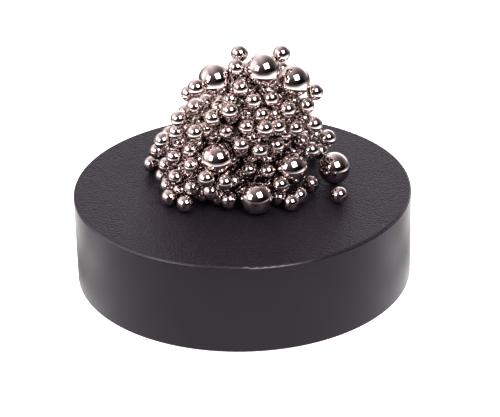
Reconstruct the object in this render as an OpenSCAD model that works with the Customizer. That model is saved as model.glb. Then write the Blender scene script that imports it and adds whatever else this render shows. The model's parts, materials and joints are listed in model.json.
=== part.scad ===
// Magnetic desk sculpture: a heap of loose nickel-plated steel balls in two sizes,
// held in shape by a ring magnet hidden in a round black plastic base.
// Units are millimetres. +Z is up, the front faces -Y, and the origin is the centre
// of the underside of the non-slip pad, where the sculpture meets the desk.

/* [Base] */
// outside diameter of the round base
base_d = 100; // [96:1:110]
// height from the desk to the flat top that carries the balls
base_h = 28.5; // [25:0.5:32]
// thickness of the shell's side wall
wall = 2.6; // [2:0.1:3.5]
// thickness of the shell's top, between the magnet and the balls
top_t = 2.4; // [2:0.1:3]
// radius of the soft edge round the top
top_edge_r = 0.7; // [0.5:0.1:2]
// height of the chamfer round the shell's lower rim
lower_chamfer = 0.5; // [0.3:0.1:0.8]

/* [Magnet stack] */
// outside diameter of the ferrite ring magnet
magnet_d = 70; // [60:1:72]
// diameter of the hole through the ring magnet
magnet_bore_d = 32; // [24:1:40]
// thickness of the ring magnet
magnet_t = 10; // [8:0.5:11]
// thickness of the steel disc that closes the field under the magnet
yoke_t = 2; // [1:0.5:2.5]

/* [Underside] */
// thickness of the screwed bottom cover
cover_t = 2.4; // [2:0.1:3]
// thickness of the soft non-slip pad
pad_t = 1; // [0.8:0.1:1.5]
// how far the pad stops short of the base's outside
pad_inset = 2.5; // [1.5:0.5:5]

/* [Balls] */
// diameter of a small ball
small_d = 5; // [4.8:0.1:5.1]
// diameter of a large ball
large_d = 9.5; // [9.2:0.1:9.7]
// clearance left between balls that rest against each other
touch_gap = 0.06; // [0.04:0.01:0.1]
// facets round a ball in the preview
ball_fn = 64; // [32:8:96]

/* [Hidden] */
round_fn = 180;
screw_fn = 48;
through = 1;                         // how far a cutter runs past what it cuts
small_r = small_d / 2;
large_r = large_d / 2;

// ---- heights in the base, all measured up from the desk ----
fit_gap = 0.1;                       // left between pieces stacked in the base
shell_z = pad_t;                     // the shell's rim and the cover both rest on the pad
shell_r = base_d / 2;
inner_r = shell_r - wall;
cover_z = pad_t;
cover_top = cover_z + cover_t;
ceiling_z = base_h - top_t;          // underside of the shell's top
magnet_z = ceiling_z - fit_gap - magnet_t;
yoke_z = magnet_z - fit_gap - yoke_t;
foam_z = cover_top + fit_gap;
foam_t = yoke_z - fit_gap - foam_z;
foam_d = 58;

// ---- fastenings of the bottom cover ----
boss_count = 4;
boss_ring_r = 41;                    // radius of the circle the screw bosses stand on
boss_d = 7;
screw_d = 2.9;
screw_hole_d = 3.1;
screw_len = 9;
screw_head_d = 5.6;
screw_head_t = 1.4;
screw_recess_d = 6.2;
screw_recess_t = 1.5;
cover_gap = 0.2;                     // all round the cover, inside the shell
rib_t = 1.6;                         // locating ring round the magnet
rib_h = 5;
rib_gap = 0.3;

// ---- how the pile is laid out ----
// Each ball is given as [right, up]: its place in a plane through the middle of the base's
// top, square to the line of sight of someone sitting in front. The ball then takes the
// resting place on its own line of sight that lies nearest the pile's face: touching a ball
// already laid, or standing on the base, and overlapping none. A third number puts the face
// at that y for that ball alone.
sight_dist = 635;
sight_tilt = 26.7;
sight_from = sight_dist * [0, -cos(sight_tilt), sin(sight_tilt)];
slack = 1e-4;

// the front face: how far forward it stands at the foot, and how fast it leans back
front_foot = 16.5;
front_lean = 0.34;
// the back face, likewise
back_foot = 17;
back_lean = 0.3;
// both faces are given at these heights in the sight plane
front_foot_up = -5;
back_foot_up = 10;
// half the pile's width at the foot, and how fast it narrows above that
half_width = 29.5;
narrowing = 0.35;
narrows_from_up = 3;
pile_mid_x = 1;

function unit(v) = v / norm(v);
function spot(o) = [o.x, o.y * sin(sight_tilt), o.y * cos(sight_tilt)];
function centre(q) = [q.x, q.y, q.z];

// 1 in the middle of the pile, falling to 0 at its sides
function bulge(o) =
    let (half = half_width - narrowing * max(0, o.y - narrows_from_up),
         side = (o.x - pile_mid_x) / half)
    sqrt(max(0, 1 - side * side));
function front_y(o) = -(front_foot - front_lean * (o.y - front_foot_up)) * bulge(o);
function back_y(o) = (back_foot - back_lean * (o.y - back_foot_up)) * bulge(o);
function face_y(o, side, inset) =
    len(o) > 2 ? o[2] : side == "front" ? front_y(o) + inset : back_y(o);

// the stretch of a line of sight that a ball of radius r can't stand in because of ball q
function taken(dir, r, q) =
    let (to = centre(q) - sight_from,
         along = to * dir,
         reach = r + q[3] + touch_gap,
         half_sq = reach * reach - (to * to - along * along))
    half_sq <= 0 ? [] : [[along - sqrt(half_sq), along + sqrt(half_sq)]];

function is_free(t, gaps) =
    len([for (g = gaps) if (t > g[0] + slack && t < g[1] - slack) 1]) == 0;

// the ball of radius r seen at o, in the resting place nearest y = wanted_y
function settled(o, r, pile, wanted_y) =
    let (dir = unit(spot(o) - sight_from),
         landing = (r + touch_gap - sight_from.z) / dir.z,
         wanted = min(landing, (wanted_y - sight_from.y) / dir.y),
         gaps = [for (q = pile) each taken(dir, r, q)],
         ends = concat([landing], [for (g = gaps) each g]),
         open = [for (t = ends) if (t <= landing + slack && is_free(t, gaps)) t],
         nearest = min([for (t = open) abs(t - wanted)]),
         t = [for (t = open) if (abs(t - wanted) <= nearest) t][0],
         p = sight_from + dir * t)
    [p.x, p.y, p.z, r];

// a pile with a list of balls laid on it one after another; inset draws the front face in
function lay(todo, r, pile, side = "front", inset = 0, n = 0) =
    n == len(todo) ? pile
    : lay(todo, r, concat(pile, [settled(todo[n], r, pile, face_y(todo[n], side, inset))]),
          side, inset, n + 1);
function added(after, before) = [for (i = [len(before) : 1 : len(after) - 1]) after[i]];

tuck = 3;                            // the inset of balls half hidden behind others
down = 100;                          // a face so far back that a ball goes down to the base

// ---- large balls that stand on the base, and those held up in the pile ----
foot_large_spots = [[4.2, -3.7, down], [27.4, 4.8, down]];
low_large_spots = [[14.7, 5.1, -8.6]];
back_large_spots = [[-9, 16], [10, 22], [-2, 30]];
high_large_spots = [[-7.2, 8.1], [-7.4, 31.8], [7.1, 34.4], [16, 30.8]];

// ---- small balls of the front foot: all stand on the base but the last ----
foot_spots = [
    [-12.1, -2.2, down], [-7, -3.2, down], [20.4, 0.1, down], [16.9, -3.2, down],
    [10.7, -3.6, down], [-21.9, 0.5, down], [11.4, 0.1, -14]
];

// ---- the inside of the pile: close-packed layers, each an ellipse of small balls ----
pitch = small_d + touch_gap;
layer_rise = pitch * sqrt(2 / 3);
core_mid_x = [-2, -2, -1, 0.5, 1.5, 2.5, 3, 3.5, 4];
core_half_x = [19.5, 19.5, 19.5, 19, 18, 16.5, 15, 12, 7];
core_mid_y = 1.5;
core_half_y = [10.5, 10, 9.2, 8.4, 7.6, 6.6, 5.6, 4.4, 3];
core_rows = 4;                       // rows each way from the middle, enough for any layer
core_columns = 6;

function in_layer(k, x, y) =
    pow((x - core_mid_x[k]) / core_half_x[k], 2)
    + pow((y - core_mid_y) / core_half_y[k], 2) <= 1;
function layer(k) =
    let (shift = (k % 2) * pitch / sqrt(3))
    [for (row = [-core_rows : core_rows], col = [-core_columns : core_columns])
        let (x = (col + (row % 2 == 0 ? 0 : 0.5)) * pitch,
             y = row * pitch * sqrt(3) / 2 + shift)
        if (in_layer(k, x, y)) [x, y, small_r + touch_gap + k * layer_rise, small_r]];

// whether ball p overlaps ball q, and whether it stands in the way of seeing ball q
function overlaps(p, q) = norm(centre(p) - centre(q)) < p[3] + q[3] + touch_gap;
function hides(p, q) =
    let (dir = unit(centre(q) - sight_from),
         to = centre(p) - sight_from,
         along = to * dir)
    along < norm(centre(q) - sight_from) && norm(to - along * dir) < q[3];
function clear_of(p, pile) = len([for (q = pile) if (overlaps(p, q) || hides(p, q)) 1]) == 0;

// ---- small balls on the back ----
back_spots = [
    [-20, 11], [-14, 10.5], [-3, 10.5], [3, 10], [9, 10.5], [15, 10.5], [21, 10.5],
    [-22, 15], [-17, 15], [0, 15.5], [5, 14], [11, 15], [17, 15], [22, 14.5],
    [-18, 20], [-13, 21.5], [-1, 21], [3.5, 18], [17, 19], [20, 18.2],
    [-13, 25.5], [-8, 23], [4, 24], [17.5, 23.5], [-9, 28], [4, 28.5], [9, 29],
    [14.5, 28], [3, 33.5], [8, 34], [12, 32.5]
];

// ---- small balls half hidden behind others ----
tucked_spots = [
    [-18.1, -1], [-21.2, 15.8, 4], [-16, 22.2, 2], [-6.3, 23.3, -3], [-2.9, 25.7, -1],
    [3.6, 14.2, -5], [1.9, 21.3, -3], [9.8, 20.9, -2], [18.9, 13.5, 2], [21.8, 13.8, 3],
    [16.8, 9.6, 6], [-10.4, 17.2, -4], [-17.9, 13.3, -3], [23.3, 9.8, 8],
    [18.6, 19.6, 3], [12.4, 34.2, 4], [10.8, 17.4, -4], [6.3, 21, -4]
];

// ---- small balls of the front face: its left side, its middle and the crown ----
left_spots = [
    [-24.8, 10.9, 2], [-23.3, 3.4, 0], [-22.3, 6.6, -3], [-14.8, -0.3],
    [-9.2, -1.4], [-19, 16.4, 0], [-19.8, 9.1, -7], [-14.9, 11.1, -4], [-13.5, 16.2],
    [-14.8, 6.4]
];
middle_spots = [
    [-2.5, 1.4, -9], [7.6, 4.2], [0, 12.2], [10.4, 11.8], [7.2, 16.9], [1.8, 17.6],
    [-8.3, 20.4], [-3.1, 22.4], [3.8, 25.3], [9.1, 25.8], [16, 16.9]
];
crown_spots = [[-15, 27.8, 2], [0.2, 29.2], [-0.9, 35.2]];

// ---- small balls that are made to come away one by one, from the foot up ----
loose_spots = [
    [-21.6, -2.9, down], [-17, -4.8, down], [-4, -4.1, down], [14.4, -5.2, down],
    [28.7, -3.3, down], [-26.7, 7.1, down],
    [-5, 1.2], [-10.6, 2.4], [-19.6, 3], [2.2, 4.8], [13.9, 22.4], [5.4, 10.3],
    [20.7, 10.2], [-23.3, 14, -3], [25.6, 13.7], [-4.2, 16.3], [21.7, 17.8],
    [-18.3, 20.3, -5], [19.5, 23.4], [-13.5, 23.8], [22.2, 27.4], [-12.9, 29.5, -8],
    [12.6, 39], [0.1, 39.3]
];

// ---- the whole pile, laid in order from the inside out ----
with_foot_large = lay(foot_large_spots, large_r, []);
with_foot = lay(foot_spots, small_r, with_foot_large);
with_low_large = lay(low_large_spots, large_r, with_foot);
core = [
    for (k = [0 : len(core_half_x) - 1], q = layer(k)) if (clear_of(q, with_low_large)) q
];
with_core = concat(with_low_large, core);
with_back_large = lay(back_large_spots, large_r, with_core, "back");
with_large = lay(high_large_spots, large_r, with_back_large);
with_back = lay(back_spots, small_r, with_large, "back");
with_tucked = lay(tucked_spots, small_r, with_back, inset = tuck);
with_left = lay(left_spots, small_r, with_tucked);
with_middle = lay(middle_spots, small_r, with_left);
with_crown = lay(crown_spots, small_r, with_middle);
whole_pile = lay(loose_spots, small_r, with_crown);

large_balls = concat(with_foot_large, added(with_low_large, with_foot),
                     added(with_large, with_core));
small_balls = added(whole_pile, with_crown);

// ---- the nodes ----
ball_groups = ["core_balls", "back_balls", "foot_balls", "tucked_balls", "left_balls",
               "middle_balls", "crown_balls"];
base_nodes = ["base_shell", "ring_magnet", "steel_yoke", "foam_spacer", "bottom_cover",
              "cover_screws", "non_slip_pad"];
function numbered(name, i) = str(name, i < 9 ? "_0" : "_", i + 1);
large_names = [for (i = [0 : len(large_balls) - 1]) numbered("large_ball", i)];
small_names = [for (i = [0 : len(small_balls) - 1]) numbered("small_ball", i)];

module nickel() color([0.78, 0.72, 0.70]) children();

module ball(q) translate([q.x, q.y, base_h + q.z]) sphere(r = q[3], $fn = ball_fn);

module balls(list) nickel() for (q = list) ball(q);

// the outline of the shell's outside from the axis outwards, with a soft upper edge
module shell_outline() {
    soft_x = shell_r - top_edge_r;
    soft_z = base_h - top_edge_r;
    polygon([
        [0, shell_z],
        [shell_r - lower_chamfer, shell_z],
        [shell_r, shell_z + lower_chamfer],
        [shell_r, soft_z],
        [soft_x, soft_z],
        [soft_x, base_h],
        [0, base_h]
    ]);
    translate([soft_x, soft_z]) circle(r = top_edge_r, $fn = round_fn);
}

module at_bosses() {
    for (i = [0 : boss_count - 1])
        rotate(45 + i * 360 / boss_count) translate([boss_ring_r, 0]) children();
}

module base_shell() color([0.13, 0.13, 0.14]) {
    difference() {
        rotate_extrude($fn = round_fn) shell_outline();
        translate([0, 0, shell_z - through])
            cylinder(r = inner_r, h = ceiling_z - shell_z + through, $fn = round_fn);
    }
    locating_rib();
    at_bosses() screw_boss();
}

// a low ring under the shell's top that keeps the magnet centred
module locating_rib() translate([0, 0, ceiling_z - rib_h]) difference() {
    rib_r = magnet_d / 2 + rib_gap;
    cylinder(r = rib_r + rib_t, h = rib_h + fit_gap, $fn = round_fn);
    translate([0, 0, -through]) cylinder(r = rib_r, h = rib_h + 2 * through, $fn = round_fn);
}

module screw_boss() {
    boss_z = cover_top + fit_gap;
    translate([0, 0, boss_z]) difference() {
        cylinder(d = boss_d, h = ceiling_z - boss_z + fit_gap, $fn = screw_fn);
        translate([0, 0, -through])
            cylinder(d = screw_hole_d, h = screw_len + through, $fn = screw_fn);
    }
}

module ring_magnet() color([0.22, 0.21, 0.21]) translate([0, 0, magnet_z]) difference() {
    cylinder(d = magnet_d, h = magnet_t, $fn = round_fn);
    translate([0, 0, -through])
        cylinder(d = magnet_bore_d, h = magnet_t + 2 * through, $fn = round_fn);
}

module steel_yoke() color([0.62, 0.62, 0.64])
    translate([0, 0, yoke_z]) cylinder(d = magnet_d, h = yoke_t, $fn = round_fn);

module foam_spacer() color([0.30, 0.30, 0.32])
    translate([0, 0, foam_z]) cylinder(d = foam_d, h = foam_t, $fn = round_fn);

module bottom_cover() color([0.16, 0.16, 0.17]) translate([0, 0, cover_z]) difference() {
    cylinder(r = inner_r - cover_gap, h = cover_t, $fn = round_fn);
    at_bosses() translate([0, 0, -through]) {
        cylinder(d = screw_hole_d, h = cover_t + 2 * through, $fn = screw_fn);
        cylinder(d = screw_recess_d, h = screw_recess_t + through, $fn = screw_fn);
    }
}

module cover_screws() color([0.70, 0.70, 0.72]) at_bosses() cover_screw();

module cover_screw() {
    head_z = cover_z + screw_recess_t - screw_head_t;
    translate([0, 0, head_z]) {
        cylinder(d = screw_head_d, h = screw_head_t, $fn = screw_fn);
        cylinder(d = screw_d, h = screw_len, $fn = screw_fn);
    }
}

module non_slip_pad() color([0.06, 0.06, 0.06])
    cylinder(r = shell_r - pad_inset, h = pad_t, $fn = round_fn);

module core_balls() balls(core);
module back_balls() balls(added(with_back, with_large));
module foot_balls() balls(added(with_foot, with_foot_large));
module tucked_balls() balls(added(with_tucked, with_back));
module left_balls() balls(added(with_left, with_tucked));
module middle_balls() balls(added(with_middle, with_left));
module crown_balls() balls(added(with_crown, with_middle));
module large_ball(i) nickel() ball(large_balls[i]);
module small_ball(i) nickel() ball(small_balls[i]);

base_shell();
ring_magnet();
steel_yoke();
foam_spacer();
bottom_cover();
cover_screws();
non_slip_pad();
core_balls();
back_balls();
foot_balls();
tucked_balls();
left_balls();
middle_balls();
crown_balls();
for (i = [0 : len(large_balls) - 1]) large_ball(i);
for (i = [0 : len(small_balls) - 1]) small_ball(i);
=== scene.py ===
"""Looks of the magnetic desk sculpture: nickel balls on a black magnet base."""

import json
import math

import bpy
import bmesh
from mathutils import Matrix, Vector


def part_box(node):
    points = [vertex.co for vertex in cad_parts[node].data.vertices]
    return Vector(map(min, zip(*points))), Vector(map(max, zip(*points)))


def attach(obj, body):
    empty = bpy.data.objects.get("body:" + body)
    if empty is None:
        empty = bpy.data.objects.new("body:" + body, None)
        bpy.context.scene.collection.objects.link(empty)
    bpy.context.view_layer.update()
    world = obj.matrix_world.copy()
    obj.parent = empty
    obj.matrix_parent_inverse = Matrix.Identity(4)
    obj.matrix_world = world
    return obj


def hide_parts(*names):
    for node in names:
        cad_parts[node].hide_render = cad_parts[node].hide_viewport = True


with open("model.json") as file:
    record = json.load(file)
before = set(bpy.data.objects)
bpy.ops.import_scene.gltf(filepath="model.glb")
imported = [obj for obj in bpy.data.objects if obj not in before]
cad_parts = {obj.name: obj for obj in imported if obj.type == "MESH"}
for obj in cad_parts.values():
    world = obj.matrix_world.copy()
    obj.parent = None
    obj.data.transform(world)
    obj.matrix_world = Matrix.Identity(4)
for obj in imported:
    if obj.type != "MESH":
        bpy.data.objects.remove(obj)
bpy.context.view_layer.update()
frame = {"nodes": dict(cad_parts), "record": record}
nodes = frame["nodes"]

body_of_node = {
    node: body
    for body, members in frame["record"]["behaviour"]["bodies"].items()
    for node in members
}
slot_of_node = {s["node"]: s["material_slot"] for s in frame["record"]["subparts"]}

plate_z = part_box("base_shell")[1][2]  # height of the top of the base
rim = 0.0007  # radius of the rounded top edge of the base


# ---------------------------------------------------------------- node helpers
def new_material(name):
    mat = bpy.data.materials.new(name)
    mat.use_nodes = True
    tree = mat.node_tree
    shader = tree.nodes["Principled BSDF"]
    return mat, tree, shader


def add(tree, kind, **settings):
    node = tree.nodes.new(kind)
    for key, value in settings.items():
        if key in node.inputs:
            node.inputs[key].default_value = value
        else:
            setattr(node, key, value)
    return node


def link(tree, out, into):
    tree.links.new(out, into)


def feed(tree, into, value):
    """Link a socket into another one, or set a plain number or a colour on it."""
    if isinstance(value, bpy.types.NodeSocket):
        link(tree, value, into)
    elif isinstance(value, tuple):
        into.default_value = (*value, 1)
    else:
        into.default_value = value


def noise(tree, coords, scale, detail=2.0, rough=0.5):
    node = add(tree, "ShaderNodeTexNoise", Scale=scale, Detail=detail, Roughness=rough)
    link(tree, coords, node.inputs["Vector"])
    return node.outputs["Fac"]


def remap(tree, value, lo, hi, to_lo, to_hi):
    node = add(tree, "ShaderNodeMapRange")
    node.inputs["From Min"].default_value = lo
    node.inputs["From Max"].default_value = hi
    node.inputs["To Min"].default_value = to_lo
    node.inputs["To Max"].default_value = to_hi
    link(tree, value, node.inputs["Value"])
    return node.outputs["Result"]


def blend(tree, factor, a, b, kind="VALUE"):
    """A mix of two numbers (kind VALUE) or two colours (kind RGBA)."""
    data_type = "FLOAT" if kind == "VALUE" else kind
    node = add(tree, "ShaderNodeMix", data_type=data_type)
    link(tree, factor, node.inputs["Factor"])
    for name, value in (("A", a), ("B", b)):
        ends = [s for s in node.inputs if s.name == name and s.type == kind]
        feed(tree, ends[0], value)
    return [s for s in node.outputs if s.type == kind][0]


def blend_colours(tree, factor, a, b):
    return blend(tree, factor, a, b, "RGBA")


def ramp(tree, value, stops):
    """A colour ramp through grey levels, or colours, given as (place, level) pairs."""
    node = add(tree, "ShaderNodeValToRGB")
    link(tree, value, node.inputs["Fac"])
    marks = node.color_ramp.elements
    while len(marks) < len(stops):
        marks.new(0.5)
    for mark, (place, level) in zip(marks, stops):
        mark.position = place
        mark.color = (*level, 1) if isinstance(level, tuple) else (level, level, level, 1)
    return node.outputs["Color"]


def maths(tree, operation, *values):
    """One arithmetic step on sockets or plain numbers."""
    node = add(tree, "ShaderNodeMath", operation=operation)
    for k, value in enumerate(values):
        feed(tree, node.inputs[k], value)
    return node.outputs["Value"]


def bump(tree, shader, height, strength, distance):
    node = add(tree, "ShaderNodeBump", Strength=strength, Distance=distance)
    link(tree, height, node.inputs["Height"])
    link(tree, node.outputs["Normal"], shader.inputs["Normal"])


def object_coords(tree):
    return add(tree, "ShaderNodeTexCoord").outputs["Object"]


def along_axes(tree, vector):
    """The X, Y and Z of a vector, as sockets."""
    node = add(tree, "ShaderNodeSeparateXYZ")
    link(tree, vector, node.inputs["Vector"])
    return node.outputs


# ---------------------------------------------------------------- materials
def nickel():
    """Mirror-polished nickel plate with faint handling smudges and a warm tone."""
    mat, tree, shader = new_material("nickel_plate")
    at = object_coords(tree)
    tone = remap(tree, noise(tree, at, 260, 2), 0.35, 0.65, 0, 1)
    colour = blend_colours(tree, tone, (0.90, 0.79, 0.765), (0.86, 0.755, 0.735))
    link(tree, colour, shader.inputs["Base Color"])
    shader.inputs["Metallic"].default_value = 1
    smudge = noise(tree, at, 420, 4, 0.6)
    link(tree, remap(tree, smudge, 0.4, 0.75, 0.06, 0.12), shader.inputs["Roughness"])
    ripple = noise(tree, at, 900, 2)
    bump(tree, shader, ripple, 0.02, 0.00002)
    return mat


def grained_plastic():
    """Black moulded plastic: leather grain on the top, satin side, polished top edge; the top and
    the edge are painted lighter with painted sheen.
    """
    mat, tree, shader = new_material("base_black_plastic")
    at = object_coords(tree)
    z = along_axes(tree, at)["Z"]
    is_top = remap(tree, z, plate_z - 0.00006, plate_z - 0.000005, 0, 1)
    above_wall = remap(tree, z, plate_z - rim, plate_z - rim + 0.0002, 0, 1)
    is_edge = maths(tree, "SUBTRACT", above_wall, is_top)

    warp = add(tree, "ShaderNodeTexNoise", Scale=420.0, Detail=3.0)
    link(tree, at, warp.inputs["Vector"])
    moved = add(tree, "ShaderNodeVectorMath", operation="MULTIPLY_ADD")
    link(tree, warp.outputs["Color"], moved.inputs[0])
    moved.inputs[1].default_value = (0.0014, 0.0014, 0.0014)
    link(tree, at, moved.inputs[2])
    cells = add(tree, "ShaderNodeTexVoronoi", feature="F1", Scale=1350.0)
    link(tree, moved.outputs["Vector"], cells.inputs["Vector"])
    fine = noise(tree, at, 2100, 3, 0.6)
    grain = maths(tree, "MULTIPLY_ADD", fine, 0.9, cells.outputs["Distance"])
    bump(tree, shader, maths(tree, "MULTIPLY", grain, is_top), 0.8, 0.00017)

    patch = remap(tree, noise(tree, at, 45, 3), 0.35, 0.7, 0, 1)
    side = blend_colours(tree, patch, (0.0125, 0.0106, 0.013), (0.0165, 0.0143, 0.0171))
    # painted sheen: the top's base colour is far lighter than the side's, standing in for the
    # backdrop's reflection, and is flecked with painted glints
    glint = remap(tree, noise(tree, at, 1500, 2, 0.7), 0.5, 0.72, 0, 1)
    top = blend_colours(tree, glint, (0.052, 0.043, 0.056), (0.086, 0.074, 0.093))
    # the top edge takes the top's lighter colour too: painted light that lightens the dark line
    # the edge reflects
    link(tree, blend_colours(tree, above_wall, side, top), shader.inputs["Base Color"])

    rough = remap(tree, above_wall, 0, 1, 0.19, 0.35)
    rough = maths(tree, "MULTIPLY_ADD", is_edge, -0.05, rough)
    link(tree, rough, shader.inputs["Roughness"])
    gloss = remap(tree, is_top, 0, 1, 0.33, 0.23)
    gloss = maths(tree, "MULTIPLY_ADD", is_edge, 1.0, gloss)
    link(tree, gloss, shader.inputs["Specular IOR Level"])
    shader.inputs["Specular Tint"].default_value = (1.0, 0.88, 1.04, 1)
    return mat


def plain(name, colour, second, roughness, metallic=0.0, scale=400.0, depth=0.00003):
    """A finish with a little variation of tone, gloss and relief."""
    mat, tree, shader = new_material(name)
    at = object_coords(tree)
    speckle = noise(tree, at, scale, 4, 0.6)
    tone = remap(tree, speckle, 0.35, 0.65, 0, 1)
    link(tree, blend_colours(tree, tone, colour, second), shader.inputs["Base Color"])
    shader.inputs["Metallic"].default_value = metallic
    rough = remap(tree, speckle, 0.3, 0.7, roughness - 0.06, roughness + 0.06)
    link(tree, rough, shader.inputs["Roughness"])
    bump(tree, shader, speckle, 0.4, depth)
    return mat


finishes = {
    "ball_nickel": nickel(),
    "base_plastic": grained_plastic(),
    "ferrite": plain("ferrite", (0.045, 0.045, 0.048), (0.07, 0.068, 0.068), 0.7),
    "yoke_steel": plain("yoke_steel", (0.5, 0.51, 0.53), (0.42, 0.43, 0.45), 0.38, 1.0),
    "foam": plain("foam", (0.05, 0.05, 0.055), (0.025, 0.025, 0.03), 0.9,
                  scale=900, depth=0.0004),
    "cover_plastic": plain("cover_plastic", (0.022, 0.022, 0.024),
                           (0.03, 0.03, 0.032), 0.5),
    "screw_steel": plain("screw_steel", (0.6, 0.6, 0.62), (0.5, 0.5, 0.52), 0.3, 1.0),
    "pad_rubber": plain("pad_rubber", (0.012, 0.012, 0.012), (0.02, 0.02, 0.02), 0.85,
                        scale=1500, depth=0.0001),
}

for name, obj in nodes.items():
    obj.data.materials.clear()
    obj.data.materials.append(finishes[slot_of_node[name]])


# ---------------------------------------------------------------- smooth balls
def island_centres(mesh):
    """The centre and radius of each separate ball in a node's mesh."""
    bm = bmesh.new()
    bm.from_mesh(mesh)
    bmesh.ops.remove_doubles(bm, verts=bm.verts, dist=1e-6)
    seen, found = set(), []
    for start in bm.verts:
        if start.index in seen:
            continue
        seen.add(start.index)
        stack, island = [start], []
        while stack:
            v = stack.pop()
            island.append(v.co.copy())
            for e in v.link_edges:
                w = e.other_vert(v)
                if w.index not in seen:
                    seen.add(w.index)
                    stack.append(w)
        lo = Vector([min(p[k] for p in island) for k in range(3)])
        hi = Vector([max(p[k] for p in island) for k in range(3)])
        found.append(((lo + hi) / 2, (hi.z - lo.z) / 2))
    bm.free()
    return found


def ball_template(divisions):
    bm = bmesh.new()
    bmesh.ops.create_icosphere(bm, subdivisions=divisions, radius=1.0)
    points = [v.co.copy() for v in bm.verts]
    faces = [[v.index for v in f.verts] for f in bm.faces]
    bm.free()
    return points, faces


large_limit = 0.0035  # balls of a larger radius get the finer template
fine_template = ball_template(5)
small_template = ball_template(4)


def smooth_balls(node):
    """A piece of true round balls in place of a node's faceted ones."""
    points, faces = [], []
    for middle, r in island_centres(nodes[node].data):
        unit_points, unit_faces = fine_template if r > large_limit else small_template
        start = len(points)
        points += [middle + r * p for p in unit_points]
        faces += [[start + k for k in f] for f in unit_faces]
    mesh = bpy.data.meshes.new("round_" + node)
    mesh.from_pydata(points, [], faces)
    mesh.polygons.foreach_set("use_smooth", [True] * len(mesh.polygons))
    mesh.materials.append(finishes["ball_nickel"])
    obj = bpy.data.objects.new("round_" + node, mesh)
    bpy.context.scene.collection.objects.link(obj)
    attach(obj, body_of_node[node])
    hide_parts(node)


for node, slot_name in slot_of_node.items():
    if slot_name == "ball_nickel":
        smooth_balls(node)


# ---------------------------------------------------------------- camera
scene = bpy.context.scene
target = Vector((0, 0, plate_z))
sight_dist = 0.635
sight_tilt = math.radians(26.68)
roll = math.radians(-1.34)
toward = Vector((0, -math.cos(sight_tilt), math.sin(sight_tilt)))
cam = bpy.data.objects.new("camera", bpy.data.cameras.new("camera"))
scene.collection.objects.link(cam)
cam.location = target + toward * sight_dist
cam.rotation_mode = "QUATERNION"
aim = (-toward).to_track_quat("-Z", "Y")
cam.rotation_quaternion = aim @ Matrix.Rotation(roll, 4, "Z").to_quaternion()
cam.data.lens = 154.15
cam.data.sensor_width = 36
cam.data.shift_x = 0.0156
cam.data.shift_y = -0.0448
cam.data.clip_start = 0.01
scene.camera = cam

# few bounces keep the gaps between the balls dark
scene.cycles.glossy_bounces = 2
scene.cycles.max_bounces = 4


# ---------------------------------------------------------------- stage and light
# painted glow of the table against distance from the heap, in parts of sheet_reach
sheet_reach = 0.6
sheet_front = [
    (0.00, 1.0), (0.172, 1.0), (0.195, 0.42), (0.27, 0.34), (0.36, 0.12), (0.45, 0.01),
]
sheet_side = [
    (0.00, 0.95), (0.24, 0.88), (0.32, 0.50), (0.50, 0.30), (0.75, 0.10), (1.00, 0.05),
]
table_seen = 0.86  # brightness that the camera sees, enough for a plain white


def table_light(tree, at):
    """Painted glow of the table as the object reflects it, with a painted shadow of the base."""
    place = along_axes(tree, at)
    flat = add(tree, "ShaderNodeVectorMath", operation="LENGTH")
    link(tree, at, flat.inputs[0])
    away = maths(tree, "DIVIDE", flat.outputs["Value"], sheet_reach)
    # -1 straight in front of the object, 0 beside it and 1 behind it
    behind = maths(tree, "DIVIDE", place["Y"], flat.outputs["Value"])

    to_side = remap(tree, behind, -0.85, -0.35, 0, 1)
    to_back = remap(tree, behind, -0.1, 0.35, 1, 0.24)
    spread = blend(
        tree, to_side, ramp(tree, away, sheet_front), ramp(tree, away, sheet_side)
    )
    spread = maths(tree, "MULTIPLY", spread, to_back)
    close = remap(tree, away, 0.15, 0.20, 0.6, 0)
    lit = maths(tree, "MAXIMUM", spread, close)

    # painted shadow of the base: the glow is dimmed close beside and behind the base, more at the
    # left
    deepest = remap(tree, place["X"], -0.03, 0.03, 0.38, 0.62)
    painted_base_shadow = maths(tree, "MAXIMUM", deepest, remap(tree, away, 0.083, 0.118, 0.1, 1))
    in_shadow = remap(tree, behind, -0.45, -0.05, 0, 1)
    return maths(tree, "MULTIPLY", lit, blend(tree, in_shadow, 1.0, painted_base_shadow))


def table_material():
    """A white table top that glows: plain white to the camera, and to the object a painted glow,
    brightest round the front of the object.
    """
    mat, tree, shader = new_material("white_table")
    at = object_coords(tree)
    seen = add(tree, "ShaderNodeLightPath").outputs["Is Camera Ray"]
    level = blend(tree, seen, table_light(tree, at), table_seen)
    mottle = noise(tree, at, 6, 2)
    colour = blend_colours(tree, mottle, (0.08, 0.08, 0.08), (0.095, 0.095, 0.095))
    link(tree, colour, shader.inputs["Base Color"])
    shader.inputs["Roughness"].default_value = 0.7
    shader.inputs["Specular IOR Level"].default_value = 0.1
    shader.inputs["Emission Color"].default_value = (1.0, 0.985, 0.98, 1)
    link(tree, level, shader.inputs["Emission Strength"])
    return mat


half = 2.2  # half the side of the square table top
floor_mesh = bpy.data.meshes.new("table_top")
floor_mesh.from_pydata(
    [(-half, -half, 0), (half, -half, 0), (half, half, 0), (-half, half, 0)],
    [], [(0, 1, 2, 3)],
)
floor = bpy.data.objects.new("table_top", floor_mesh)
floor_mesh.materials.append(table_material())
scene.collection.objects.link(floor)


light_distance = 0.9
heap_middle = Vector((0, 0, plate_z + 0.02))


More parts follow.
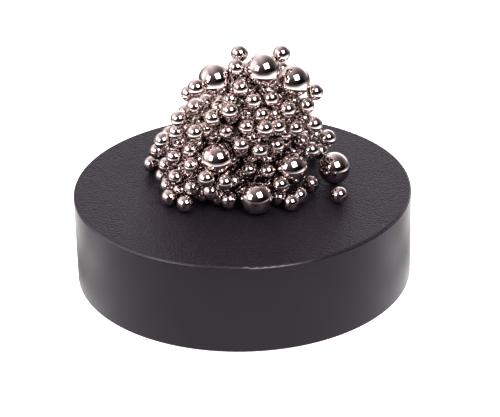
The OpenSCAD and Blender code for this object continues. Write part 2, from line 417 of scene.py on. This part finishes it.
def softbox(name, azimuth, elevation, width, height, radiance, colour):
    """A rectangular light aimed at the heap, its azimuth measured from the front to the right."""
    a, e = math.radians(azimuth), math.radians(elevation)
    out = Vector((math.sin(a) * math.cos(e), -math.cos(a) * math.cos(e), math.sin(e)))
    lamp = bpy.data.lights.new(name, "AREA")
    lamp.shape = "RECTANGLE"
    lamp.size = width
    lamp.size_y = height
    lamp.energy = radiance * math.pi * width * height
    lamp.color = colour
    obj = bpy.data.objects.new(name, lamp)
    scene.collection.objects.link(obj)
    obj.location = heap_middle + out * light_distance
    obj.rotation_mode = "QUATERNION"
    obj.rotation_quaternion = (-out).to_track_quat("-Z", "Y")


softbox("softbox_left", -50.5, 25.5, 0.38, 0.52, 1.35, (1.0, 0.985, 0.98))
softbox("softbox_right", 31.0, 45.4, 0.54, 0.60, 2.2, (1.0, 0.99, 0.985))

# brightness of the room along the arc from the front horizon (0), over the zenith
# (0.5), to the horizon behind the object (1)
room_arc = [
    (0.00, (0.020, 0.017, 0.018)), (0.15, (0.034, 0.029, 0.030)),
    (0.34, (0.090, 0.078, 0.080)), (0.50, (0.175, 0.156, 0.160)),
    (0.62, (0.235, 0.215, 0.22)), (0.74, (0.34, 0.325, 0.33)),
    (0.80, (0.40, 0.385, 0.39)), (0.86, (0.66, 0.65, 0.655)), (0.94, (0.80, 0.795, 0.80)),
]
# how the backdrop and the dark part of the room change from left (0) to right (1)
backdrop_across = [
    (0.00, 0.25), (0.12, 0.28), (0.27, 0.36), (0.35, 0.50), (0.42, 0.66), (0.50, 0.95),
    (0.60, 1.0), (0.72, 1.0), (0.82, 0.72), (0.90, 0.36), (0.98, 0.05),
]
dark_across = [
    (0.00, 0.30), (0.25, 0.32), (0.36, 0.37), (0.50, 0.25), (0.62, 0.15), (0.72, 0.10),
    (0.84, 0.07),
]


def background(tree, colour, strength):
    """One light of the room; both values are sockets, or a colour and a number."""
    node = add(tree, "ShaderNodeBackground")
    feed(tree, node.inputs["Color"], colour)
    feed(tree, node.inputs["Strength"], strength)
    return node.outputs["Background"]


def surroundings():
    """A dark room in front and above, a bright backdrop behind and a pale card at the left."""
    world = bpy.data.worlds.new("room")
    scene.world = world
    world.use_nodes = True
    tree = world.node_tree
    tree.nodes.clear()
    way = add(tree, "ShaderNodeTexCoord").outputs["Generated"]
    axes = along_axes(tree, way)

    up = maths(tree, "MAXIMUM", axes["Z"], 0.0001)
    arc = maths(tree, "ARCTAN2", up, maths(tree, "MULTIPLY", axes["Y"], -1.0))
    tone = ramp(tree, remap(tree, arc, 0, math.pi, 0, 1), room_arc)
    across = remap(tree, axes["X"], -1, 1, 0, 1)
    dark = maths(tree, "MULTIPLY", ramp(tree, across, dark_across), 4.0)
    bright = ramp(tree, across, backdrop_across)
    room = background(
        tree, tone, blend(tree, remap(tree, tone, 0.25, 0.75, 0, 1), dark, bright)
    )

    towards_card = add(tree, "ShaderNodeVectorMath", operation="DOT_PRODUCT")
    link(tree, way, towards_card.inputs[0])
    towards_card.inputs[1].default_value = (-0.94, -0.03, 0.34)
    glow = remap(tree, towards_card.outputs["Value"], 0.78, 0.98, 0.0, 0.34)
    lit_room = add(tree, "ShaderNodeAddShader")
    link(tree, room, lit_room.inputs[0])
    link(tree, background(tree, (1.0, 0.96, 0.96), glow), lit_room.inputs[1])

    # the camera itself sees plain white all round
    pick = add(tree, "ShaderNodeMixShader")
    ray = add(tree, "ShaderNodeLightPath")
    link(tree, ray.outputs["Is Camera Ray"], pick.inputs["Fac"])
    link(tree, lit_room.outputs["Shader"], pick.inputs[1])
    link(tree, background(tree, (1.0, 1.0, 1.0), 1.0), pick.inputs[2])
    out = add(tree, "ShaderNodeOutputWorld")
    link(tree, pick.outputs["Shader"], out.inputs["Surface"])


surroundings()
scene.view_settings.view_transform = "Standard"
scene.view_settings.look = "High Contrast"
scene.view_settings.exposure = 0.72
